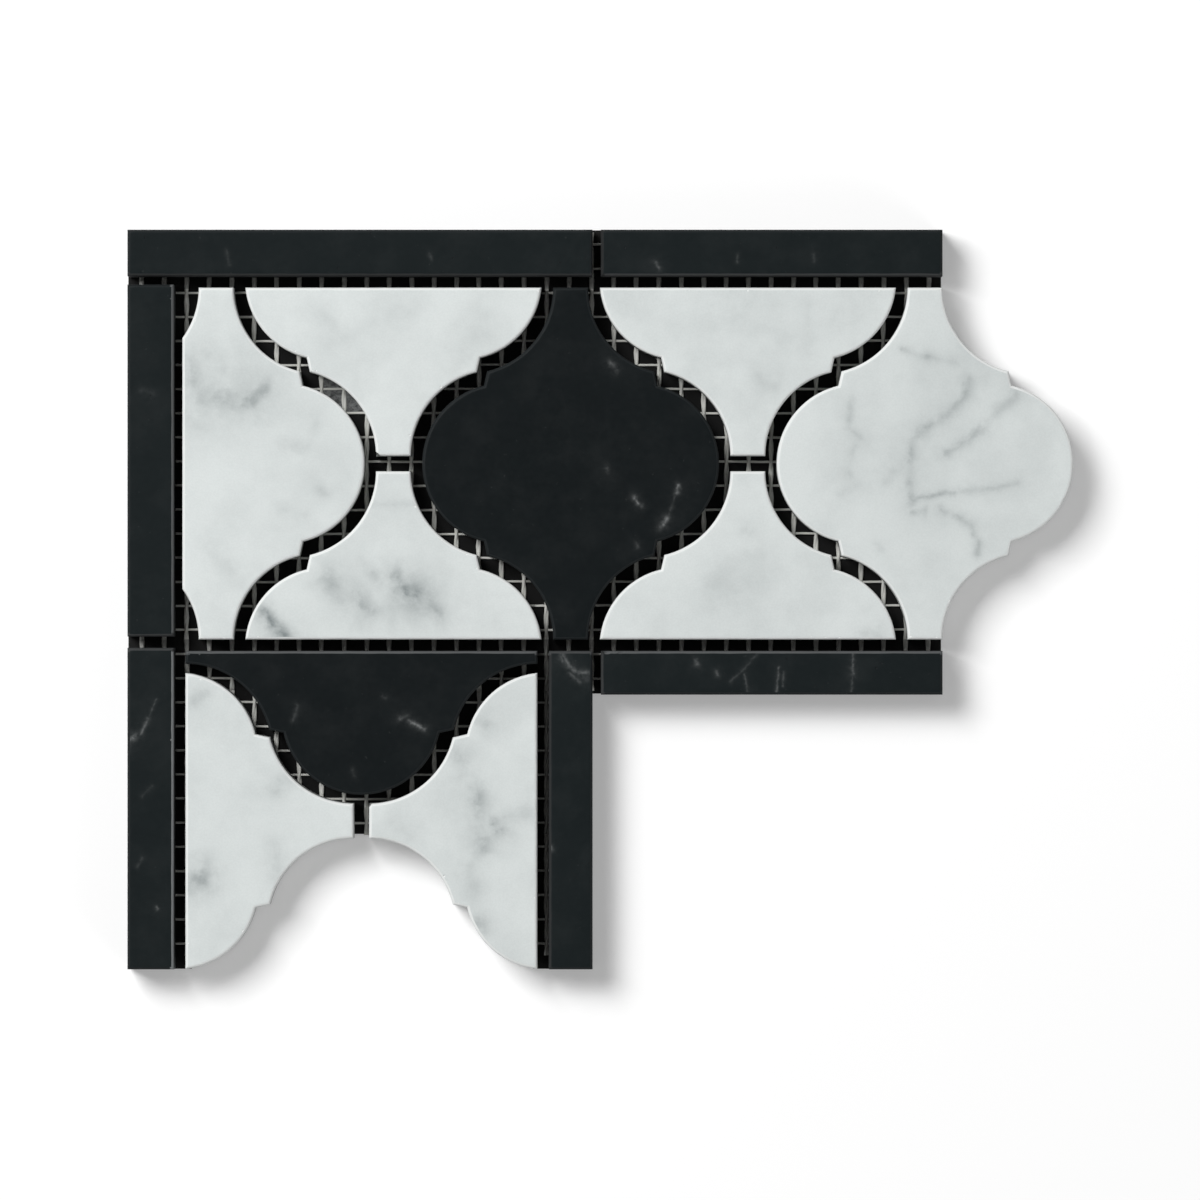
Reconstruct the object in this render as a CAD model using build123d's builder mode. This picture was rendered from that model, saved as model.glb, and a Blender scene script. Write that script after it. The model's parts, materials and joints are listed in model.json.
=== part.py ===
from build123d import *
from math import ceil, sqrt
import os

# Marble border corner: sawn and shaped stones on one sheet of open fibreglass mesh.
# Millimetres, +Z up, honed faces up. The origin is under the middle of the sheet's box.

# Stones
stone_thickness = 10.0
arris = 0.45            # ground bevel round each honed face

# Lantern outline: two lobes and two necks, with a small step between lobe and neck
lantern_width = 63.8    # across the lobes
lobe_radius = 17.2
neck_width = 7.5
neck_ease = 1.3         # the neck's hollow is this much larger in radius than the lobe beside it
shoulder_width = 35.9   # across the steps, at their neck side
shoulder_step = 3.1     # rise of a step along the lantern
shoulder_lean = 0.7     # how far a step leans out towards its lobe

# Saw cuts
cross_kerf = 3.3        # lost where a lantern is sawn across into two funnels
length_kerf = 2.0       # lost where a lantern is sawn from neck to neck

# Bars and joints
outer_bar_width = 10.0
inner_bar_width = 9.4
joint = 2.45            # between bars and stones, and between lobe and neck
bar_gap = 1.8           # at the ends of the bars and beside the corner stone's sawn edge
lobe_gap = 1.9          # between the half lantern's lobe and the necks in the leg

# Mesh glued to the backs of the stones
mesh_thickness = 0.5
warp_width = 0.8        # threads along Y
weft_width = 0.5        # threads along X
mesh_pitch_x = 4.85
mesh_pitch_y = 5.2
mesh_inset = 0.3        # from the outer edges of the bars

# Points of a quarter of the lantern, from its middle, with the necks along Y
half_width = lantern_width / 2
half_neck = neck_width / 2
neck_radius = lobe_radius + neck_ease
step_outer_x = shoulder_width / 2 + shoulder_lean
step_inner_x = shoulder_width / 2
lobe_centre_x = half_width - lobe_radius
step_outer_y = sqrt(lobe_radius**2 - (step_outer_x - lobe_centre_x) ** 2)
step_inner_y = step_outer_y + shoulder_step
half_height = step_inner_y + sqrt(neck_radius**2 - (half_neck + neck_radius - step_inner_x) ** 2)
lantern_height = 2 * half_height

# Sizes of the sawn stones and of the border
half_lantern_depth = half_width - length_kerf / 2
lantern_pitch = lantern_width + neck_width + 2 * joint
border_width = outer_bar_width + joint + lantern_height + joint + inner_bar_width
leg_drop = half_lantern_depth + lobe_gap + half_neck + half_width
sheet_length = border_width - inner_bar_width / 2 + lantern_pitch + half_width
sheet_depth = outer_bar_width + joint + lantern_height + joint + leg_drop

# Lines across the sheet
left = -sheet_length / 2
top = sheet_depth / 2
leg_inner = left + border_width
leg_end = top - sheet_depth
band_top = top - outer_bar_width - joint
band_middle = band_top - half_height
band_bottom = band_middle - half_height
inner_bar_top = band_bottom - joint

# Places of the lanterns and funnels
black_x = leg_inner - inner_bar_width / 2
corner_x = black_x - lantern_pitch
end_x = black_x + lantern_pitch
corner_cut_x = left + outer_bar_width + bar_gap
leg_left_flat = left + outer_bar_width + joint
leg_right_flat = leg_inner - inner_bar_width - joint
leg_axis = (leg_left_flat + leg_right_flat) / 2
leg_funnel_y = inner_bar_top - half_lantern_depth - lobe_gap - half_neck

# Ends of the bars
short_bar_start = leg_inner + bar_gap
bar_end = end_x + half_neck
left_bar_top = top - outer_bar_width - bar_gap
left_bar_split = left_bar_top - lantern_height

os.makedirs("parts", exist_ok=True)

# Outlines, each drawn about the middle of the lantern it is sawn from
with BuildSketch() as lantern:
    with BuildLine():
        RadiusArc((half_width, 0), (step_outer_x, step_outer_y), -lobe_radius)
        Line((step_outer_x, step_outer_y), (step_inner_x, step_inner_y))
        RadiusArc((step_inner_x, step_inner_y), (half_neck, half_height), neck_radius)
        Line((half_neck, half_height), (0, half_height))
        mirror(about=Plane.YZ)
        mirror(about=Plane.XZ)
    make_face()

with BuildSketch() as corner_lantern:
    add(lantern.sketch)
    split(bisect_by=Plane((corner_cut_x - corner_x, 0, 0), z_dir=(1, 0, 0)), keep=Keep.TOP)

with BuildSketch() as funnel:
    add(lantern.sketch)
    split(bisect_by=Plane((0, cross_kerf / 2, 0), z_dir=(0, 1, 0)), keep=Keep.TOP)

with BuildSketch() as half_lantern:
    add(lantern.sketch)
    split(bisect_by=Plane((length_kerf / 2, 0, 0), z_dir=(1, 0, 0)), keep=Keep.TOP)


def lay_stone(name, outline, x, y, turn=0):
    """One stone with a bevelled face, its outline turned and set at a place on the mesh."""
    with BuildPart() as stone:
        with BuildSketch(Plane((x, y, mesh_thickness)).rotated((0, 0, turn))):
            add(outline)
        extrude(amount=stone_thickness)
        chamfer(stone.faces().sort_by(Axis.Z)[-1].edges(), arris)
    stone.part.label = name
    export_step(stone.part, f"parts/{name}.step")


def lay_bar(name, x_from, x_to, y_from, y_to):
    """One sawn bar between two lines each way."""
    with BuildSketch() as bar:
        Rectangle(x_to - x_from, y_to - y_from)
    lay_stone(name, bar.sketch, (x_from + x_to) / 2, (y_from + y_to) / 2)


def lay_mesh(name, first_column, columns, first_row, rows):
    """One patch of the mesh, counted in windows from the sheet's top left corner."""
    patch_width = columns * mesh_pitch_x
    patch_height = rows * mesh_pitch_y
    x = left + mesh_inset + first_column * mesh_pitch_x + patch_width / 2
    y = top - mesh_inset - first_row * mesh_pitch_y - patch_height / 2
    with BuildPart() as mesh:
        with BuildSketch(Plane((x, y, 0))):
            with GridLocations(mesh_pitch_x, mesh_pitch_y, columns, 1):
                Rectangle(warp_width, patch_height)
            with GridLocations(mesh_pitch_x, mesh_pitch_y, 1, rows):
                Rectangle(patch_width, weft_width)
        extrude(amount=mesh_thickness)
    mesh.part.label = name
    export_step(mesh.part, f"parts/{name}.step")


# Black bars along the outer and inner edges
lay_bar("top_bar_long", left, leg_inner, top - outer_bar_width, top)
lay_bar("top_bar_short", short_bar_start, bar_end, top - outer_bar_width, top)
lay_bar("left_bar_upper", left, left + outer_bar_width, left_bar_split, left_bar_top)
lay_bar("left_bar_lower", left, left + outer_bar_width, leg_end, left_bar_split - joint)
lay_bar("inner_bar", leg_inner - inner_bar_width, leg_inner, leg_end, inner_bar_top)
lay_bar("bottom_bar", short_bar_start, bar_end, inner_bar_top - inner_bar_width, inner_bar_top)

# Lanterns in the top leg: sawn at the corner, whole and black, and whole at the free end
lay_stone("corner_lantern", corner_lantern.sketch, corner_x, band_middle)
lay_stone("black_lantern", lantern.sketch, black_x, band_middle)
lay_stone("end_lantern", lantern.sketch, end_x, band_middle)

# Funnels between the lanterns, in pairs with their necks towards each other
for side, lantern_x in (("left", corner_x), ("right", black_x)):
    funnel_x = lantern_x + lantern_pitch / 2
    lay_stone(f"upper_funnel_{side}", funnel.sketch, funnel_x, band_top + cross_kerf / 2, 180)
    lay_stone(f"lower_funnel_{side}", funnel.sketch, funnel_x, band_bottom - cross_kerf / 2)

# Leg: a black half lantern at its head and a pair of funnels lying on their sides
lay_stone("black_half_lantern", half_lantern.sketch, leg_axis, inner_bar_top + length_kerf / 2, -90)
lay_stone("leg_funnel_left", funnel.sketch, leg_left_flat - cross_kerf / 2, leg_funnel_y, -90)
lay_stone("leg_funnel_right", funnel.sketch, leg_right_flat + cross_kerf / 2, leg_funnel_y, 90)

# Mesh: a patch behind each half of the top leg, one behind the leg and two strips at its foot
top_columns = int((bar_end - left - 2 * mesh_inset) / mesh_pitch_x)
top_rows = int((border_width - 2 * mesh_inset) / mesh_pitch_y)
corner_columns = top_columns // 2
leg_columns = int((border_width - 2 * mesh_inset) / mesh_pitch_x)
leg_row_end = int((top - mesh_inset - leg_funnel_y + half_neck) / mesh_pitch_y)
foot_columns = ceil((outer_bar_width + joint) / mesh_pitch_x)
all_rows = int((sheet_depth - 2 * mesh_inset) / mesh_pitch_y)

lay_mesh("mesh_corner", 0, corner_columns, 0, top_rows)
lay_mesh("mesh_end", corner_columns, top_columns - corner_columns, 0, top_rows)
lay_mesh("mesh_leg", 0, leg_columns, top_rows, leg_row_end - top_rows)
lay_mesh("mesh_foot_left", 0, foot_columns, leg_row_end, all_rows - leg_row_end)
lay_mesh("mesh_foot_right", leg_columns - foot_columns, foot_columns, leg_row_end, all_rows - leg_row_end)
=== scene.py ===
import json
import math
import random

import bpy
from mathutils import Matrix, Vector


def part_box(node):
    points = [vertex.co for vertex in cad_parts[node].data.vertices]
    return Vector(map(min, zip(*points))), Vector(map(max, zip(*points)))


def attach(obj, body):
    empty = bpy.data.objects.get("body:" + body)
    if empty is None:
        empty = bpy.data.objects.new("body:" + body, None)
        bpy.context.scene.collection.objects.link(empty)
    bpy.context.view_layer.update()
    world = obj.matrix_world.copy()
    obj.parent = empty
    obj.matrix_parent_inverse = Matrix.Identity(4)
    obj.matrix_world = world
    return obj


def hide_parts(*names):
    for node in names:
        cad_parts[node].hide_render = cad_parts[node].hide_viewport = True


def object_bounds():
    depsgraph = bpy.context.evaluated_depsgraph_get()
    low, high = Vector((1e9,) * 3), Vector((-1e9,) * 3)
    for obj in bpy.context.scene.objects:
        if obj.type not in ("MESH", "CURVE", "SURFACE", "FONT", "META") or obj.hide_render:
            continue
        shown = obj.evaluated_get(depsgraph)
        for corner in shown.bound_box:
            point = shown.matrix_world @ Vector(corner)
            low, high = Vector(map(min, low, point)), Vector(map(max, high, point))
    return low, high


# Marble border corner: honed black and white stones on open fibreglass mesh, lying face up.
# Everything is in metres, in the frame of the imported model. Places on the sheet are written in
# millimetres from its middle, +X to the right and +Y up as the camera sees it.

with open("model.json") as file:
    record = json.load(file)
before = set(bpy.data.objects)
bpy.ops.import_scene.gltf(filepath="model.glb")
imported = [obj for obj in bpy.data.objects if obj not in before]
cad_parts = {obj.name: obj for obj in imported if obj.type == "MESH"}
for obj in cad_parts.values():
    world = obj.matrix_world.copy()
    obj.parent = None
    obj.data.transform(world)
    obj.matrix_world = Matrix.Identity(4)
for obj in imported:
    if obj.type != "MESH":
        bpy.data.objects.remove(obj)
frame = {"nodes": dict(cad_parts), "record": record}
cad_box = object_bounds()

MM = 0.001
tolerance = 0.01 * MM          # between places that count as the same

# Arris: the ground bevel round each honed face
face_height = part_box("end_lantern")[1].z
arris = 0.45 * MM
arris_ease = 0.24 * MM         # rounding of the bevel's two edges
arris_segments = 3             # of each rounding
arris_spacing = 1.4 * MM       # longest edge left on an arris, so that it can waver
arris_waver = 0.16 * MM
upper_edge_height = face_height - 0.5 * arris   # from here up is the bevel's upper edge
lower_edge_height = face_height - 1.6 * arris   # and from here up its lower edge
flat_angle = math.radians(0.3)                  # faces that meet at less are one flat face
stone_crease = math.radians(32)                 # edges sharper than this stay sharp

# Mesh
warp_pitch = 4.85 * MM         # from one thread along Y to the next
weft_pitch = 5.2 * MM          # from one thread along X to the next
strand_radius = 0.3 * MM       # of the two strands twisted into a warp thread
strand_offset = 0.16 * MM      # of a strand from the middle of its thread
strand_spread = 1.25           # a pressed thread is wider and flatter than it was spun
strand_flatness = 0.53
strand_sides = 5
strand_cuts = 3                # along a strand, for its twist
weft_half_width = 0.27 * MM
weft_flatness = 0.3
weft_sides = 6
most_end_sides = 8             # open ends of threads with up to this many sides are closed
thread_waver = 0.45 * MM
joint_shade_share = 0.5               # how far the painted shade darkens a thread in the shaded joints

# Glue that has run into the mesh
film_middle = (-55 * MM, 45.1 * MM, 0.22 * MM)
film_width = 9.8 * MM
film_height = 10.2 * MM
film_thickness = 0.06 * MM
film_cells = 14                # along each side
film_wander = 2.2 * MM         # of its outline
film_ripple = 0.12 * MM
film_crease = math.radians(40)

# Stage
floor_size = 6
floor_drop = 0.3 * MM
floor_glow = 0.235             # added to the light that falls on the floor where it is seen
card_drop = 0.1 * MM
surround = 0.18                # strength of the light from all round
lamp_distance = 2.2
camera_distance = 2.4          # over the honed faces
camera_offset = -0.1 * MM
camera_reach = 20
view_width = 0.2579            # across the picture, at the height of the honed faces
sensor_width = 36              # millimetres in the camera

slots = {part["node"]: part["material_slot"] for part in frame["record"]["subparts"]}
white_stones = [node for node, slot in slots.items() if slot == "white_marble"]
black_stones = [node for node, slot in slots.items() if slot == "black_marble"]
mesh_patches = [node for node, slot in slots.items() if slot == "glass_mesh"]

# Veins in the white stones: how dark, how wide in millimetres, and the points the vein passes through
grey_veins = {
    "end_lantern": [
        (0.32, 0.8, [(65, 53.4), (67.6, 52.8), (71, 52.1)]),
        (0.19, 0.7, [(71, 52.1), (76.2, 50.9)]),
        (0.33, 1.1, [(79, 47.6), (78.4, 44), (76.2, 40.8), (73, 38.2), (69, 36), (67, 33.2), (66.1, 30)]),
        (0.35, 1, [(66.1, 30), (66.3, 25.7), (67, 20.8)]),
        (0.36, 1.1, [(74.5, 31.9), (78.4, 34.3), (82.7, 36.9)]),
        (0.23, 1.3, [(82.7, 36.9), (85.9, 40.8), (89.8, 44)]),
        (0.39, 0.7, [(67, 20.8), (73, 22), (76, 22.4)]),
        (0.23, 0.9, [(76, 22.4), (82.7, 23.3), (89.5, 24.8)]),
        (0.33, 0.7, [(67.4, 18.6), (70, 18.6)]),
        (0.35, 0.8, [(73.7, 18.8), (77.3, 17.1), (80.1, 14.5), (81.6, 11.7), (81.4, 9.1)]),
        (0.25, 0.9, [(54.3, 42.9), (53.9, 36.5)]),
        (0.35, 0.9, [(53.9, 36.5), (55.4, 34.7)]),
        (0.18, 1, [(55, 34.7), (52.8, 27.8), (54.9, 24.8)]),
        (0.27, 1, [(55.4, 24.8), (52.2, 22.3)]),
        (0.16, 1.4, [(61, 25.5), (65, 29)]),
        (0.19, 0.9, [(59.3, 12.2), (60.2, 11.2)]),
    ],
    "corner_lantern": [
        (0.34, 2.8, [(-88.7, 49.4), (-86.1, 45.5), (-81.8, 43.5), (-77, 43.2)]),
        (0.46, 2.2, [(-76, 43.2), (-74.6, 42.6)]),
        (0.37, 1.7, [(-74.4, 43.4), (-72, 45.2)]),
        (0.19, 2.7, [(-84, 52), (-80, 49.5)]),
        (0.19, 1.5, [(-62, 39.2), (-60.8, 38)]),
        (0.17, 1.4, [(-68.9, 33.7), (-63.5, 32.8)]),
        (0.22, 1.3, [(-59.9, 23.8), (-59.3, 22.8)]),
        (0.18, 1.3, [(-67.8, 19.2), (-63.5, 18.8)]),
        (0.14, 2.2, [(-85.1, 12.8), (-79.7, 6.3)]),
        (0.11, 2, [(-87.5, 38.5), (-84, 37)]),
    ],
    "upper_funnel_left": [
        (0.12, 2.4, [(-24.2, 61), (-25.9, 55.8), (-29.1, 52.6)]),
        (0.08, 2.7, [(-57.1, 55.8), (-43.1, 62.3)]),
        (0.09, 1.8, [(-60, 62), (-57, 58)]),
    ],
    "upper_funnel_right": [
        (0.15, 1.7, [(33.2, 47.8), (37.5, 46.1)]),
        (0.14, 1.7, [(50.8, 60.6), (53.4, 60.3)]),
        (0.09, 1.3, [(44.6, 64), (44.8, 55)]),
        (0.09, 2.7, [(26, 62), (38, 57)]),
    ],
    "lower_funnel_left": [
        (0.65, 2.1, [(-43.3, 3.8), (-41.4, 1.8), (-39.6, 1.2)]),
        (0.34, 1.6, [(-39.6, 0.8), (-34.5, -2.7)]),
        (0.34, 2.2, [(-58.6, 5.3), (-56, 1.6), (-52.6, -0.5), (-50, -2.7)]),
        (0.71, 1.5, [(-72.6, -2.7), (-69.8, -5.3), (-67.6, -7.9)]),
        (0.26, 1.3, [(-50, 7.4), (-48.3, 4.6)]),
        (0.12, 1.8, [(-45.3, 0), (-45.3, -7.6)]),
        (0.14, 0.8, [(-48.5, 19.9), (-39.9, 19.9)]),
    ],
    "lower_funnel_right": [
        (0.19, 1.5, [(31.2, 15.2), (32.2, 14.6)]),
        (0.14, 1.6, [(33.5, 10.8), (34.3, 9.6)]),
        (0.11, 3.6, [(23.5, 3.6), (29, 3), (33, 6)]),
        (0.26, 1.6, [(57.2, -7.3), (59.2, -7.7)]),
    ],
    "leg_funnel_left": [
        (0.46, 2.3, [(-86.9, -59.6), (-85.4, -60.5)]),
        (0.22, 2.9, [(-87.8, -62), (-84.8, -57.6)]),
        (0.31, 1.5, [(-69.3, -41), (-68.4, -39.9)]),
        (0.26, 1.4, [(-87.2, -22), (-85.1, -20.5)]),
        (0.14, 2, [(-70, -52.8), (-70, -60.3)]),
    ],
    "leg_funnel_right": [
        (0.44, 2, [(-26.3, -41), (-26, -44)]),
        (0.36, 2.1, [(-26, -44), (-25.5, -47.4), (-24.8, -53.9)]),
        (0.52, 1.8, [(-22.8, -48.5), (-21.7, -50)]),
        (0.19, 2, [(-21.5, -47), (-19.5, -46.3), (-15.2, -45.7)]),
        (0.37, 1.6, [(-30.6, -33), (-29.8, -34)]),
        (0.22, 1.4, [(-29.9, -34), (-29.6, -37.7)]),
        (0.31, 1.5, [(-25.8, -25.8), (-25, -27)]),
        (0.19, 1.9, [(-28.1, -57.1), (-27, -63.5), (-26, -68)]),
        (0.37, 1.3, [(-25.9, -68.6), (-25.6, -70.6)]),
        (0.12, 1.8, [(-44.2, -47.4), (-41, -50.6)]),
    ],
}

# Broad grey washes in the white stones, written as the veins are
grey_washes = {
    "end_lantern": [
        (0.13, 9, [(80, 57), (73, 42), (67, 28), (70, 19)]),
        (0.07, 7, [(76, 3), (76, -7)]),
    ],
    "corner_lantern": [
        (0.11, 5, [(-86, 48), (-85, 45)]),
        (0.12, 6, [(-74, 44), (-66, 41)]),
        (0.07, 5, [(-75, 34), (-69, 34)]),
    ],
    "upper_funnel_left": [
        (0.04, 5, [(-41, 50), (-34, 54)]),
    ],
    "upper_funnel_right": [
        (0.06, 8, [(32, 60), (48, 61)]),
        (0.06, 5, [(6, 62), (12, 60)]),
    ],
    "lower_funnel_left": [
        (0.13, 4, [(-50, -3), (-44, -2), (-38, -0.5)]),
        (0.06, 4, [(-66, -5), (-56, -4)]),
    ],
    "lower_funnel_right": [
        (0.07, 5, [(20, -2), (36, -5)]),
    ],
    "leg_funnel_left": [
        (0.05, 12, [(-80, -36), (-74, -46)]),
    ],
    "leg_funnel_right": [
        (0.08, 4, [(-30, -31), (-30, -36)]),
        (0.07, 4, [(-24, -46), (-20, -48)]),
        (0.08, 4, [(-26, -69), (-24, -74)]),
    ],
}

# Veins and specks in the black stones, with how pale they are first
white_veins = {
    "black_lantern": [
        (0.18, 0.4, [(2.2, 50.8), (2.9, 50)]),
        (0.08, 0.55, [(2.9, 50), (3.4, 49.2)]),
        (0.32, 0.25, [(7.3, 22), (8.2, 20.6)]),
        (0.13, 0.35, [(8.2, 20.6), (8.8, 20.2)]),
        (0.34, 0.25, [(16.8, 24.4), (16.4, 23)]),
        (0.06, 0.3, [(16.4, 23), (14.4, 17.8)]),
        (0.26, 0.35, [(14.2, 17.4), (13.4, 16.2)]),
        (0.11, 0.45, [(13.4, 16.2), (12.8, 15.4)]),
        (0.08, 0.35, [(1.3, 28.3), (1.5, 27.6)]),
        (0.08, 0.3, [(7.6, 12.4), (7.9, 11.4)]),
    ],
    "black_half_lantern": [
        (0.28, 0.25, [(-41.4, -25.9), (-37.8, -27.9)]),
        (0.16, 0.35, [(-43, -25.6), (-41.6, -25)]),
        (0.06, 0.35, [(-65.2, -22.8), (-66.1, -26)]),
        (0.06, 0.3, [(-46.8, -20.9), (-46.2, -21.2)]),
        (0.05, 0.35, [(-53.3, -36.6), (-53, -38)]),
    ],
    "left_bar_lower": [
        (0.26, 0.4, [(-102.4, -31.6), (-100.2, -29.4)]),
        (0.17, 0.25, [(-98.8, -29), (-97.3, -25.5)]),
        (0.08, 0.2, [(-97.3, -25.5), (-95.4, -21.4)]),
        (0.05, 0.3, [(-98.4, -42.4), (-96.4, -40)]),
        (0.18, 0.2, [(-95.5, -66.2), (-95.3, -66.5)]),
        (0.04, 0.3, [(-99.6, -57.4), (-98.4, -55.6)]),
    ],
    "left_bar_upper": [
        (0.03, 0.55, [(-98.6, 44.8), (-96.2, 44.4)]),
    ],
    "inner_bar": [
        (0.19, 0.35, [(-8, -12), (-7, -14.2), (-4.4, -15.8), (-2.2, -15.6)]),
        (0.12, 0.3, [(-8.6, -11.6), (-8.2, -13.4)]),
        (0.1, 0.3, [(-6.8, -15.6), (-4.4, -17.6)]),
        (0.06, 0.75, [(-8.2, -13), (-3, -17)]),
        (0.18, 0.3, [(-10.7, -53.2), (-10.5, -53.8)]),
    ],
    "bottom_bar": [
        (0.16, 0.3, [(20.4, -13), (20.7, -14)]),
        (0.11, 0.3, [(25, -15.2), (25.2, -16.2)]),
        (0.16, 0.2, [(54.2, -11.4), (54.3, -16.2)]),
        (0.2, 0.3, [(54.2, -15), (54.3, -16)]),
        (0.07, 0.2, [(54.2, -16.2), (53.9, -20)]),
        (0.14, 0.2, [(38.4, -14.6), (37.8, -20)]),
        (0.1, 0.2, [(39.4, -15.6), (39.2, -18.4)]),
        (0.09, 0.2, [(31, -16), (31.8, -20)]),
        (0.06, 0.25, [(27.8, -17.7), (31.1, -14.7), (33.7, -11.4)]),
    ],
    "top_bar_long": [
        (0.06, 0.3, [(-36.8, 74.4), (-36.4, 73.2)]),
        (0.04, 0.3, [(-80.4, 75.2), (-79.8, 72)]),
    ],
    "top_bar_short": [
        (0.13, 0.3, [(12, 72.4), (12.5, 71.2)]),
        (0.06, 0.25, [(29.4, 74.2), (29.5, 72.6)]),
        (0.06, 0.25, [(45.8, 74.2), (45.9, 72.8)]),
    ],
}

# Painted highlights on the arrises of the black stones, where the light catches them: the side each is on, and
# how pale it is
painted_arris_highlights = {
    "top_bar_long": {"bottom": 0.03},
    "top_bar_short": {"bottom": 0.045, "left": 0.02},
    "left_bar_upper": {"right": 0.11, "bottom": 0.04},
    "left_bar_lower": {"right": 0.2, "top": 0.045},
    "inner_bar": {"left": 0.026, "top": 0.055},
    "bottom_bar": {"top": 0.09, "left": 0.035},
    "black_half_lantern": {"top": 0.09},
}

# Larger chips seen on the arrises: the place of each, its length along the edge, and the edge's heading
chips = {
    "bottom_bar": [
        (1.4, -11.1, 2.6, 0), (4.3, -11.1, 2.2, 0), (0.2, -13.2, 1.6, 90),
        (33.5, -11.0, 1.5, 0), (47.6, -11.0, 0.9, 0),
    ],
    "top_bar_short": [(31, 69.5, 1.3, 0), (14.2, 69.5, 0.8, 0), (73.3, 69.6, 0.9, 60)],
    "top_bar_long": [(-56, 69.5, 0.9, 0)],
    "left_bar_upper": [(-91.8, -2, 1.3, 90)],
    "left_bar_lower": [(-91.8, -11.2, 0.9, 90)],
    "inner_bar": [(-11.0, -53.5, 0.9, 90), (-2, -11.2, 0.9, 20)],
    "black_half_lantern": [(-17, -11.1, 1.0, 0)],
    "lower_funnel_left": [(-44, -8.6, 1.2, 0)],
    "upper_funnel_left": [(-51, 30.6, 1.6, 40)],
}

# Corners broken off at the necks: the place of each, how wide the break is, and its heading
broken_corners = {
    "upper_funnel_left": [(-48.1, 31.0, 2.0, 135)],
    "lower_funnel_left": [(-40.6, 27.6, 1.3, 150)],
    "leg_funnel_right": [(-49.8, -44.2, 1.4, 45)],
}

# The pebble that bites a chip: its sizes are shares of the chip's length
chip_width = 0.6
chip_depth = 0.45
chip_rise = 0.02               # of its middle over the face
chip_tilt = 0.4                # at most, in radians
break_height = 12              # millimetres, half of them below the face, where a corner is broken off
break_tilt = 0.05
small_chips = 7                # on each stone, at random places
small_chip_lengths = (0.35, 0.75)


def select_only(piece):
    """Make one object the only selected one, and active."""
    bpy.ops.object.select_all(action="DESELECT")
    piece.select_set(True)
    bpy.context.view_layer.objects.active = piece


def select_edges(piece, wanted):
    """In edit mode, select just the edges whose two end points pass the test, and count them."""
    bpy.ops.mesh.select_mode(type="EDGE")
    bpy.ops.mesh.select_all(action="DESELECT")
    bpy.ops.object.mode_set(mode="OBJECT")
    points = piece.data.vertices
    chosen = 0
    for edge in piece.data.edges:
        first, second = (points[index].co for index in edge.vertices)
        edge.select = wanted(first, second)
        chosen += edge.select
    bpy.ops.object.mode_set(mode="EDIT")
    return chosen


def apply_modifier(piece, name, kind, **settings):
    """Add a modifier to the active object and apply it."""
    modifier = piece.modifiers.new(name, kind)
    for setting, value in settings.items():
        setattr(modifier, setting, value)
    bpy.ops.object.modifier_apply(modifier=modifier.name)


def shake(piece, texture, direction, strength, group=""):
    """Push the active object's points about by a cloudy pattern: all of them or one vertex group."""
    apply_modifier(
        piece, "shake", "DISPLACE", texture=texture, texture_coords="LOCAL", direction=direction,
        strength=strength, vertex_group=group)


def copy_piece(piece, name):
    """A copy of a modelled piece with a mesh of its own."""
    twin = piece.copy()
    twin.data = piece.data.copy()
    twin.name = name
    bpy.context.collection.objects.link(twin)
    return twin


def cloud_texture(name, scale):
    """A cloudy pattern for shaking points about."""
    texture = bpy.data.textures.new(name, "CLOUDS")
    texture.noise_scale = scale
    texture.noise_depth = 2
    return texture


class Wiring:
    """A node tree being wired, with short names for the nodes it is made from."""

    def __init__(self, tree):
        self.tree = tree

    def node(self, kind, inputs=None, **settings):
        """A new node, its inputs either linked or given a value."""
        node = self.tree.nodes.new(kind)
        for setting, value in settings.items():
            setattr(node, setting, value)
        for socket, value in (inputs or {}).items():
            if isinstance(value, bpy.types.NodeSocket):
                self.tree.links.new(value, node.inputs[socket])
            else:
                node.inputs[socket].default_value = value
        return node

    def math(self, operation, first, second=0.0, clamp=False):
        inputs = {0: first, 1: second}
        return self.node("ShaderNodeMath", inputs, operation=operation, use_clamp=clamp).outputs[0]

    def vector(self, operation, first, second, output="Vector"):
        inputs = {0: first, 1: second}
        return self.node("ShaderNodeVectorMath", inputs, operation=operation).outputs[output]

    def noise(self, place, scale, detail=2.0, roughness=0.5, output="Fac"):
        inputs = {"Vector": place, "Scale": scale, "Detail": detail, "Roughness": roughness}
        return self.node("ShaderNodeTexNoise", inputs).outputs[output]

    def fade(self, value, start, end, at_start=0.0, at_end=1.0):
        inputs = {"Value": value, "From Min": start, "From Max": end, "To Min": at_start, "To Max": at_end}
        return self.node("ShaderNodeMapRange", inputs, interpolation_type="SMOOTHSTEP").outputs[0]

    def blend(self, factor, first, second):
        return self.node("ShaderNodeMix", {0: factor, 6: first, 7: second}, data_type="RGBA").outputs[2]

    def seen(self):
        """One where the camera sees, straight or by gloss or glass, and nought where light only bounces."""
        rays = self.node("ShaderNodeLightPath").outputs
        seen = self.math("ADD", rays["Is Camera Ray"], rays["Is Glossy Ray"])
        return self.math("ADD", seen, rays["Is Transmission Ray"], clamp=True)


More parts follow.
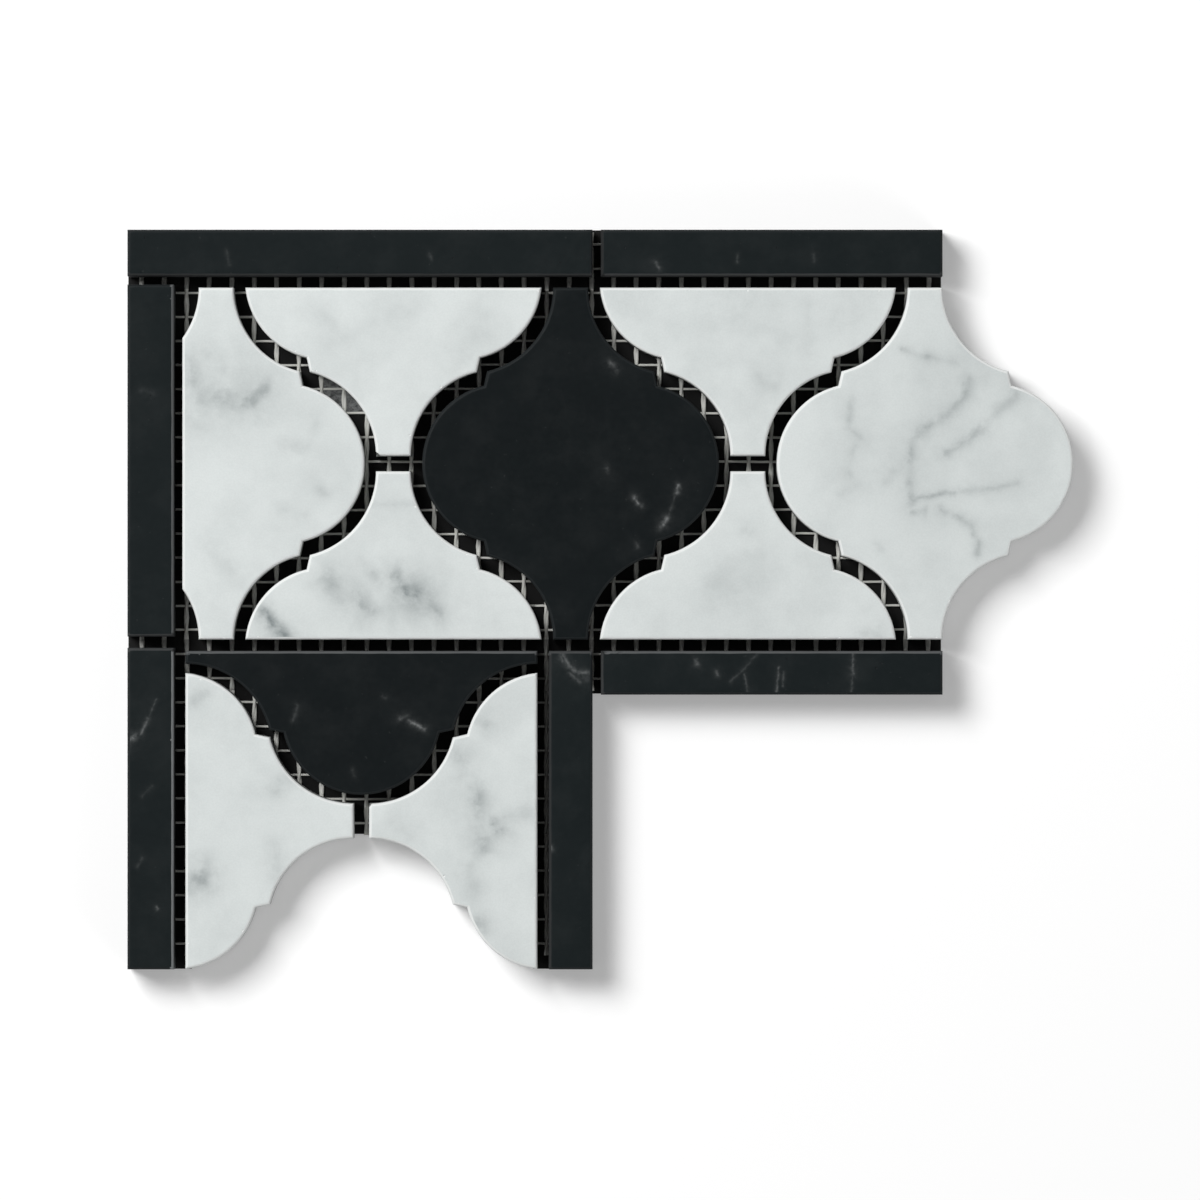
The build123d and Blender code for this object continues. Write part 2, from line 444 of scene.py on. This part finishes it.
class Finish(Wiring):
    """A material being wired."""

    def __init__(self, name):
        self.material = bpy.data.materials.new(name)
        self.material.use_nodes = True
        super().__init__(self.material.node_tree)
        self.tree.nodes.clear()

    def place(self):
        """The point on the piece, in millimetres."""
        point = self.node("ShaderNodeTexCoord").outputs["Object"]
        return self.vector("MULTIPLY", point, (1 / MM, 1 / MM, 1 / MM))

    def shaken(self, place, scale, reach):
        """The place, pushed about by up to half the reach."""
        push = self.noise(place, scale, 2.0, output="Color")
        push = self.vector("SUBTRACT", push, (0.5, 0.5, 0.5))
        return self.vector("ADD", place, self.vector("MULTIPLY", push, (reach, reach, reach)))

    def veins(self, place, strokes):
        """Share of vein at each place, from a stone's list of veins."""
        flat = self.vector("MULTIPLY", place, (1, 1, 0))
        total = None
        for strength, width, points in strokes:
            for start, end in zip(points, points[1:]):
                inputs = {"Point": flat, "Start": (*start, 0), "End": (*end, 0),
                          "Width": width, "Strength": strength}
                share = self.node("ShaderNodeGroup", inputs, node_tree=vein_stroke).outputs["Share"]
                total = share if total is None else self.math("MAXIMUM", total, share)
        return total

    def bump(self, height, depth, strength):
        """A rough surface, from its height at each place and its depth in millimetres."""
        inputs = {"Strength": strength, "Distance": depth * MM, "Height": height}
        return self.node("ShaderNodeBump", inputs).outputs[0]

    def surface(self, **sockets):
        """The shader itself, with spaces in its socket names written as underscores."""
        inputs = {name.replace("_", " "): value for name, value in sockets.items()}
        shader = self.node("ShaderNodeBsdfPrincipled", inputs)
        self.node("ShaderNodeOutputMaterial", {"Surface": shader.outputs[0]})
        return self.material


def make_vein_stroke():
    """Node group: how strongly a point lies on one straight stroke of a vein."""
    group = bpy.data.node_groups.new("vein_stroke", "ShaderNodeTree")
    for name in ("Point", "Start", "End"):
        group.interface.new_socket(name, in_out="INPUT", socket_type="NodeSocketVector")
    for name in ("Width", "Strength"):
        group.interface.new_socket(name, in_out="INPUT", socket_type="NodeSocketFloat")
    group.interface.new_socket("Share", in_out="OUTPUT", socket_type="NodeSocketFloat")
    wiring = Wiring(group)
    given = wiring.node("NodeGroupInput").outputs
    along = wiring.vector("SUBTRACT", given["End"], given["Start"])
    reach = wiring.vector("SUBTRACT", given["Point"], given["Start"])
    ahead = wiring.vector("DOT_PRODUCT", reach, along, "Value")
    whole = wiring.vector("DOT_PRODUCT", along, along, "Value")
    done = wiring.math("DIVIDE", ahead, whole, clamp=True)
    nearest = wiring.node("ShaderNodeVectorMath", {0: along, "Scale": done}, operation="SCALE").outputs[0]
    distance = wiring.vector("DISTANCE", reach, nearest, "Value")
    widths = wiring.math("DIVIDE", distance, given["Width"])
    spread = wiring.math("ADD", wiring.math("MULTIPLY", widths, widths), 1)
    wiring.node("NodeGroupOutput", {"Share": wiring.math("DIVIDE", given["Strength"], spread)})
    return group


def stone_zones(finish, place):
    """Shares of bevelled arris and of sawn wall at each height of a stone, apart from its honed face."""
    height = finish.node("ShaderNodeSeparateXYZ", {0: place}).outputs["Z"]
    face = face_height / MM
    below_face = finish.fade(height, face - 0.05, face - 0.01, 1, 0)
    wall = finish.fade(height, face - arris / MM - 0.25, face - arris / MM, 1, 0)
    return below_face, wall


def arris_with_side_highlights(finish, place, node):
    """Colour of a black stone's arris: paler along the listed sides, a painted highlight where the light catches
    them.
    """
    low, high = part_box(node)
    sides = {
        "left": ("X", low.x, 1),
        "right": ("X", high.x, -1),
        "bottom": ("Y", low.y, 1),
        "top": ("Y", high.y, -1),
    }
    along = finish.node("ShaderNodeSeparateXYZ", {0: place}).outputs
    colour = (0.014, 0.0165, 0.0175, 1)
    for side, highlight_level in painted_arris_highlights.get(node, {}).items():
        axis, edge, inward = sides[side]
        near = finish.fade(along[axis], edge / MM + 0.6 * inward, edge / MM + inward, 1, 0)
        # Painted highlight along this side's arris.
        colour = finish.blend(near, colour, (highlight_level, 1.05 * highlight_level, 1.07 * highlight_level, 1))
    return colour


def honed_stone(finish, place, face, arris_with_highlight, sawn, smoothest, ground_roughness, pitting, shine):
    """The material of a stone, from the colours of its honed face, its arris with any painted highlight, and its
    sawn walls with any painted shade.
    """
    below_face, wall = stone_zones(finish, place)
    scores = finish.noise(finish.vector("MULTIPLY", place, (0.04, 0.04, 3.2)), 1.0, 3.0, 0.7)
    colour = finish.blend(below_face, face, arris_with_highlight)
    colour = finish.blend(wall, colour, finish.blend(scores, *sawn))
    polish = finish.fade(finish.noise(place, 0.8, 3.0), 0.3, 0.7, smoothest, 0.5)
    roughness = finish.math("ADD", polish, finish.math("MULTIPLY", below_face, ground_roughness))
    pits = finish.math("MULTIPLY", finish.noise(place, 5.0, 2.0), pitting)
    relief = finish.math("ADD", pits, finish.math("MULTIPLY", wall, scores))
    return finish.surface(
        Base_Color=colour, Roughness=roughness, Specular_IOR_Level=shine,
        Normal=finish.bump(relief, depth=0.06, strength=0.35))


def white_marble(node):
    """Honed white marble with cloudy grey veins, whiter along its arris: partly the grinding and partly a
    painted highlight.
    """
    finish = Finish(f"white_marble_{node}")
    place = finish.place()
    drift = finish.shaken(finish.shaken(place, 0.09, 3.2), 0.5, 1.0)
    smoke = finish.fade(finish.noise(drift, 0.25, 3.0, 0.55), 0.32, 0.68, 0.4, 1.1)
    veins = finish.math("MULTIPLY", finish.veins(drift, grey_veins[node]), smoke)
    washes = finish.veins(drift, grey_washes[node])
    cloud = finish.fade(finish.noise(place, 0.07, 3.0, 0.6), 0.35, 0.72, 0, 0.12)
    grain = finish.fade(finish.noise(place, 2.6, 2.0, 0.7), 0.3, 0.7, 0, 0.06)
    drawn = finish.math("ADD", veins, washes)
    scattered = finish.math("ADD", cloud, grain)
    grey = finish.math("ADD", drawn, scattered, clamp=True)
    purest = (0.69, 0.728, 0.72, 1)
    greyest = (0.13, 0.155, 0.16, 1)
    # The whiter arris is partly the grinding and partly a painted highlight.
    return honed_stone(
        finish, place, face=finish.blend(grey, purest, greyest), arris_with_highlight=(0.76, 0.78, 0.77, 1),
        # The walls are darker than the honed face: painted shade for the deep joints, over the real saw scores.
        sawn=((0.36, 0.375, 0.37, 1), (0.56, 0.575, 0.56, 1)),
        smoothest=0.36, ground_roughness=0.3, pitting=0.12, shine=0.35)


def black_marble(node):
    """Honed black marble with fine white veins and specks, grey along its arris, with painted highlights on some
    of its sides.
    """
    finish = Finish(f"black_marble_{node}")
    place = finish.place()
    drift = finish.shaken(finish.shaken(place, 0.3, 0.9), 1.2, 0.25)
    crystal = finish.fade(finish.noise(drift, 0.9, 3.0, 0.6), 0.35, 0.65, 0.4, 1.1)
    veins = finish.math("MULTIPLY", finish.veins(drift, white_veins[node]), crystal)
    cloud = finish.fade(finish.noise(place, 0.12, 4.0, 0.65), 0.4, 0.75, 0, 0.008)
    fleck = finish.fade(finish.noise(place, 1.1, 1.0), 0.74, 0.84, 0, 0.02)
    pale = finish.math("ADD", finish.math("ADD", veins, cloud), fleck, clamp=True)
    darkest = (0.003, 0.0048, 0.0055, 1) if node.endswith("lantern") else (0.0058, 0.0088, 0.0096, 1)
    palest = (0.5, 0.52, 0.52, 1)
    return honed_stone(
        finish, place, face=finish.blend(pale, darkest, palest), arris_with_highlight=arris_with_side_highlights(finish, place, node),
        sawn=((0.02, 0.022, 0.023, 1), (0.065, 0.068, 0.07, 1)),
        smoothest=0.38, ground_roughness=0.2, pitting=0.03, shine=0.07)


def painted_joint_shade(finish, place):
    """Share of painted shade on the threads: it darkens them in the joints along the level bars and the inner
    bar, where shade falls.
    """
    sheet_low, sheet_high = cad_box
    joints = (
        (sheet_low.x, sheet_high.x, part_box("upper_funnel_left")[1].y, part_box("top_bar_long")[0].y),
        (sheet_low.x, sheet_high.x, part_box("bottom_bar")[1].y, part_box("lower_funnel_left")[0].y),
        (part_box("leg_funnel_right")[1].x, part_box("inner_bar")[0].x, sheet_low.y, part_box("inner_bar")[1].y),
    )
    along = finish.node("ShaderNodeSeparateXYZ", {0: place}).outputs

    def between(axis, low, high):
        inputs = {0: along[axis], 1: (low + high) / 2 / MM, 2: (high - low) / 2 / MM}
        return finish.node("ShaderNodeMath", inputs, operation="COMPARE").outputs[0]

    thread_shade = 0.0
    for left, right, bottom, top in joints:
        inside = finish.math("MULTIPLY", between("X", left, right), between("Y", bottom, top))
        thread_shade = finish.math("MAXIMUM", inside, thread_shade)
    return finish.math("MULTIPLY", thread_shade, joint_shade_share)


def coated_glass():
    """Resin-coated glass yarn: pale, a little olive, with fine filaments, darkened by painted shade in the
    joints along the black bars.
    """
    finish = Finish("coated_glass")
    place = finish.place()
    tone = finish.noise(place, 0.5, 3.0)
    colour = finish.blend(tone, (0.66, 0.66, 0.6, 1), (0.85, 0.85, 0.82, 1))
    # Painted shade: threads in the joints along the level bars and the inner bar turn nearly black.
    colour = finish.blend(painted_joint_shade(finish, place), colour, (0.03, 0.032, 0.033, 1))
    filaments = finish.noise(place, 9.0, 2.0)
    return finish.surface(
        Base_Color=colour, Roughness=finish.fade(tone, 0.3, 0.7, 0.4, 0.55),
        Normal=finish.bump(filaments, depth=0.03, strength=0.3))


def dried_glue():
    """A thin skin of dusty clear glue, dark where it is thinnest."""
    finish = Finish("dried_glue")
    mottle = finish.fade(finish.noise(finish.place(), 1.4, 4.0, 0.65), 0.36, 0.66)
    return finish.surface(
        Base_Color=finish.blend(mottle, (0.03, 0.032, 0.032, 1), (0.2, 0.208, 0.208, 1)),
        Roughness=finish.fade(mottle, 0, 1, 0.4, 0.65),
        Normal=finish.bump(mottle, depth=0.05, strength=0.5))


def model_crossing():
    """One crossing of the mesh, at the origin: two warp strands twisted together and a flat weft thread."""
    bpy.ops.mesh.primitive_cylinder_add(
        vertices=strand_sides, radius=strand_radius, depth=weft_pitch, end_fill_type="NOTHING",
        location=(0, 0, strand_offset), rotation=(math.pi / 2, 0, 0))
    crossing = bpy.context.object
    crossing.name = "mesh_crossing"
    bpy.ops.object.transform_apply(location=True, rotation=True, scale=True)
    bpy.ops.object.mode_set(mode="EDIT")
    select_edges(crossing, lambda first, second: abs(first.y - second.y) > weft_pitch / 2)
    bpy.ops.mesh.subdivide(number_cuts=strand_cuts)
    bpy.ops.mesh.select_all(action="SELECT")
    bpy.ops.mesh.duplicate()
    bpy.ops.transform.rotate(value=math.pi, orient_axis="Y", center_override=(0, 0, 0))
    bpy.ops.object.mode_set(mode="OBJECT")
    apply_modifier(crossing, "twist", "SIMPLE_DEFORM", deform_method="TWIST", deform_axis="Y", angle=math.pi)
    bpy.ops.object.mode_set(mode="EDIT")
    bpy.ops.mesh.select_all(action="SELECT")
    bpy.ops.transform.resize(value=(strand_spread, 1, strand_flatness), center_override=(0, 0, 0))
    bpy.ops.mesh.select_all(action="DESELECT")
    bpy.ops.mesh.primitive_cylinder_add(
        vertices=weft_sides, radius=weft_half_width, depth=warp_pitch, end_fill_type="NOTHING",
        rotation=(0, math.pi / 2, 0))
    bpy.ops.transform.resize(value=(1, 1, weft_flatness), center_override=(0, 0, 0))
    bpy.ops.object.mode_set(mode="OBJECT")
    return crossing


def lay_weave(node, crossing):
    """One patch of the mesh: the crossing repeated over the patch, its threads wavering a little."""
    low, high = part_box(node)
    weave = copy_piece(crossing, f"{node}_weave")
    weave.location = (low.x + warp_pitch / 2, low.y + weft_pitch / 2, (low.z + high.z) / 2)
    select_only(weave)
    bpy.ops.object.transform_apply(location=True, rotation=True, scale=True)
    size = high - low
    for step, count in (((warp_pitch, 0, 0), size.x / warp_pitch), ((0, weft_pitch, 0), size.y / weft_pitch)):
        apply_modifier(
            weave, "repeat", "ARRAY", count=round(count), use_relative_offset=False, use_constant_offset=True,
            constant_offset_displace=step, use_merge_vertices=True, merge_threshold=tolerance)
    bpy.ops.object.mode_set(mode="EDIT")
    bpy.ops.mesh.select_all(action="SELECT")
    bpy.ops.mesh.fill_holes(sides=most_end_sides)
    bpy.ops.object.mode_set(mode="OBJECT")
    shake(weave, sideways_waver, "X", thread_waver)
    shake(weave, lengthways_waver, "Y", thread_waver)
    bpy.ops.object.shade_smooth()
    weave.data.materials.append(thread_finish)
    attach(weave, "root")
    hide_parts(node)


def spread_film():
    """The skin of glue that fills a few windows of the mesh between the corner lantern and its funnel."""
    bpy.ops.mesh.primitive_grid_add(x_subdivisions=film_cells, y_subdivisions=film_cells, size=1)
    film = bpy.context.object
    film.name = "glue_film"
    bpy.ops.object.mode_set(mode="EDIT")
    bpy.ops.mesh.select_all(action="SELECT")
    bpy.ops.transform.resize(value=(film_width, film_height, 1), center_override=(0, 0, 0))
    bpy.ops.transform.translate(value=film_middle)
    bpy.ops.object.mode_set(mode="OBJECT")
    shake(film, lengthways_waver, "X", film_wander)
    shake(film, sideways_waver, "Y", film_wander)
    shake(film, lengthways_wear, "Z", film_ripple)
    apply_modifier(film, "skin", "SOLIDIFY", thickness=film_thickness)
    bpy.ops.object.shade_smooth_by_angle(angle=film_crease)
    film.data.materials.append(dried_glue())
    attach(film, "root")


def model_flake():
    """A rough pebble, one unit across, that bites a chip out of an arris."""
    bpy.ops.mesh.primitive_ico_sphere_add(subdivisions=2, radius=0.5)
    flake = bpy.context.object
    flake.name = "flake"
    shake(flake, cloud_texture("flake_rough", 0.35), "NORMAL", 0.22)
    return flake


def bite_chips(stone, node, flake, seed):
    """Knock the listed chips, broken corners and a few small random chips out of a stone's arris."""
    draw = random.Random(seed)
    rim = [vertex.co for vertex in stone.data.vertices if vertex.co.z > upper_edge_height]
    bites = []
    for x, y, length, heading in chips.get(node, ()):
        bites.append((x, y, length, heading, chip_depth * length, chip_tilt))
    for x, y, width, heading in broken_corners.get(node, ()):
        bites.append((x, y, width, heading, break_height, break_tilt))
    for spot in draw.sample(rim, small_chips):
        length = draw.uniform(*small_chip_lengths)
        heading = draw.uniform(0, 180)
        bites.append((spot.x / MM, spot.y / MM, length, heading, chip_depth * length, chip_tilt))
    tools = []
    for x, y, length, heading, depth, tilt in bites:
        tool = copy_piece(flake, "chip")
        tool.scale = (length * MM, chip_width * length * MM, depth * MM)
        tool.rotation_euler = (draw.uniform(-tilt, tilt), draw.uniform(-tilt, tilt), math.radians(heading))
        tool.location = (x * MM, y * MM, face_height + chip_rise * length * MM)
        tools.append(tool)
    bpy.ops.object.select_all(action="DESELECT")
    for tool in tools:
        tool.select_set(True)
    bpy.context.view_layer.objects.active = tools[0]
    bpy.ops.object.transform_apply(location=True, rotation=True, scale=True)
    bpy.ops.object.join()
    select_only(stone)
    apply_modifier(
        stone, "chips", "BOOLEAN", operation="DIFFERENCE", object=tools[0], solver="EXACT", use_self=True)
    bpy.data.objects.remove(tools[0])


def dress_stone(node, marble, flake, seed):
    """A sawn stone with its arris eased, uneven and chipped, and its own marble."""
    stone = bpy.data.objects.new(f"{node}_dressed", frame["nodes"][node].data.copy())
    bpy.context.collection.objects.link(stone)
    stone.data.materials.clear()
    select_only(stone)
    bpy.ops.mesh.customdata_custom_splitnormals_clear()
    bpy.ops.object.mode_set(mode="EDIT")
    bpy.ops.mesh.select_all(action="SELECT")
    bpy.ops.mesh.remove_doubles(threshold=0.1 * tolerance)
    bpy.ops.mesh.dissolve_limited(angle_limit=flat_angle)

    def on_bevel(first, second):
        upper = min(first.z, second.z) > face_height - tolerance
        lower = max(abs(first.z - face_height + arris), abs(second.z - face_height + arris)) < tolerance
        return upper or lower

    def long_on_arris(first, second):
        return min(first.z, second.z) > lower_edge_height and (first - second).length > arris_spacing

    select_edges(stone, on_bevel)
    bpy.ops.mesh.bevel(offset=arris_ease, segments=arris_segments, affect="EDGES")
    while select_edges(stone, long_on_arris):
        bpy.ops.mesh.subdivide(number_cuts=1)
    bpy.ops.object.mode_set(mode="OBJECT")
    upper_edge = stone.vertex_groups.new(name="upper_edge")
    lower_edge = stone.vertex_groups.new(name="lower_edge")
    for vertex in stone.data.vertices:
        if vertex.co.z > upper_edge_height:
            upper_edge.add([vertex.index], 1, "REPLACE")
        elif vertex.co.z > lower_edge_height:
            lower_edge.add([vertex.index], 1, "REPLACE")
    shake(stone, sideways_wear, "X", arris_waver, "upper_edge")
    shake(stone, lengthways_wear, "Y", arris_waver, "upper_edge")
    shake(stone, sideways_wear, "Z", arris_waver, "lower_edge")
    apply_modifier(stone, "facets", "TRIANGULATE")
    bite_chips(stone, node, flake, seed)
    bpy.ops.object.shade_smooth_by_angle(angle=stone_crease)
    apply_modifier(stone, "flat_faces", "WEIGHTED_NORMAL", keep_sharp=True)
    stone.data.materials.append(marble)
    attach(stone, "root")
    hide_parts(node)


def lay_floor():
    """A pale floor that reads as white and keeps the shadow of the sheet."""
    bpy.ops.mesh.primitive_plane_add(size=floor_size, location=(0, 0, -floor_drop))
    floor = bpy.context.object
    floor.name = "floor"
    finish = Finish("pale_floor")
    matt = finish.node("ShaderNodeBsdfDiffuse", {"Color": (0.8, 0.8, 0.8, 1)})
    glow = finish.node("ShaderNodeEmission", {"Strength": finish.math("MULTIPLY", finish.seen(), floor_glow)})
    both = finish.node("ShaderNodeAddShader", {0: matt.outputs[0], 1: glow.outputs[0]})
    finish.node("ShaderNodeOutputMaterial", {"Surface": both.outputs[0]})
    floor.data.materials.append(finish.material)


def lay_shade_card():
    """A dark card under the sheet, trimmed to it, as painted shade for the deep joints: it shows between the
    threads, and from above not past the outer stones.
    """
    left, right = -101.9, 73.5
    top, bottom = 79.7, -79.7
    leg_right = -1.7
    leg_top, leg_foot = -20.3, -50.6
    fields = (
        (left, right, leg_top, top),
        (left, leg_right, leg_foot, leg_top),
        (left, -88.2, bottom, leg_foot),
        (-14.6, leg_right, bottom, leg_foot),
    )
    bpy.ops.mesh.primitive_plane_add(size=1)
    card = bpy.context.object
    card.name = "painted_shade_card"
    bpy.ops.object.mode_set(mode="EDIT")
    bpy.ops.mesh.delete(type="VERT")
    for x_from, x_to, y_from, y_to in fields:
        width = (x_to - x_from) * MM
        height = (y_to - y_from) * MM
        middle = ((x_from + x_to) / 2 * MM, (y_from + y_to) / 2 * MM, -card_drop)
        bpy.ops.mesh.select_all(action="DESELECT")
        bpy.ops.mesh.primitive_plane_add(size=1)
        bpy.ops.transform.resize(value=(width, height, 1), center_override=(0, 0, 0))
        bpy.ops.transform.translate(value=middle)
    bpy.ops.object.mode_set(mode="OBJECT")
    finish = Finish("painted_shade_card")
    # Painted shade: the near-black that the joints show between the threads.
    black = (0.014, 0.014, 0.014, 1)
    card.data.materials.append(finish.surface(Base_Color=black, Roughness=0.9, Specular_IOR_Level=0.1))


def add_lamp(name, heading, rise, size, power):
    """A square soft lamp that faces the sheet: heading from +X towards +Y, and rise, are in degrees."""
    level = math.cos(math.radians(rise)) * lamp_distance
    place = Vector((level * math.cos(math.radians(heading)), level * math.sin(math.radians(heading)),
                    math.sin(math.radians(rise)) * lamp_distance))
    bpy.ops.object.light_add(type="AREA", location=place)
    lamp = bpy.context.object
    lamp.name = name
    lamp.rotation_euler = (-place).to_track_quat("-Z", "Y").to_euler()
    lamp.data.size = size
    lamp.data.energy = power


def light_world():
    """An even surround: soft grey to light by, white to look at."""
    scene = bpy.context.scene
    scene.world = scene.world or bpy.data.worlds.new("studio")
    scene.world.use_nodes = True
    wiring = Wiring(scene.world.node_tree)
    wiring.tree.nodes.clear()
    level = wiring.node("ShaderNodeMapRange", {"Value": wiring.seen(), "To Min": surround, "To Max": 1.0})
    background = wiring.node("ShaderNodeBackground", {"Strength": level.outputs[0]})
    wiring.node("ShaderNodeOutputWorld", {"Surface": background.outputs[0]})


def set_camera():
    """Straight down on the sheet from far enough to see little of the walls, the top leg at the top."""
    place = (camera_offset, camera_offset, face_height + camera_distance)
    bpy.ops.object.camera_add(location=place, rotation=(0, 0, 0))
    camera = bpy.context.object
    camera.data.sensor_width = sensor_width
    camera.data.lens = sensor_width * camera_distance / view_width
    camera.data.clip_end = camera_reach
    bpy.context.scene.camera = camera


vein_stroke = make_vein_stroke()
thread_finish = coated_glass()
sideways_waver = cloud_texture("sideways_waver", 14 * MM)
lengthways_waver = cloud_texture("lengthways_waver", 19 * MM)
sideways_wear = cloud_texture("sideways_wear", 2.2 * MM)
lengthways_wear = cloud_texture("lengthways_wear", 2.9 * MM)

crossing = model_crossing()
for patch in mesh_patches:
    lay_weave(patch, crossing)
bpy.data.objects.remove(crossing)
spread_film()

flake = model_flake()
for seed, node in enumerate(white_stones):
    dress_stone(node, white_marble(node), flake, seed)
for seed, node in enumerate(black_stones, len(white_stones)):
    dress_stone(node, black_marble(node), flake, seed)
bpy.data.objects.remove(flake)

lay_floor()
lay_shade_card()
light_world()
add_lamp("key_lamp", heading=140, rise=51, size=1.05, power=52)
add_lamp("fill_lamp", heading=-40, rise=22, size=1.2, power=11)
set_camera()
bpy.context.scene.view_settings.view_transform = "Standard"
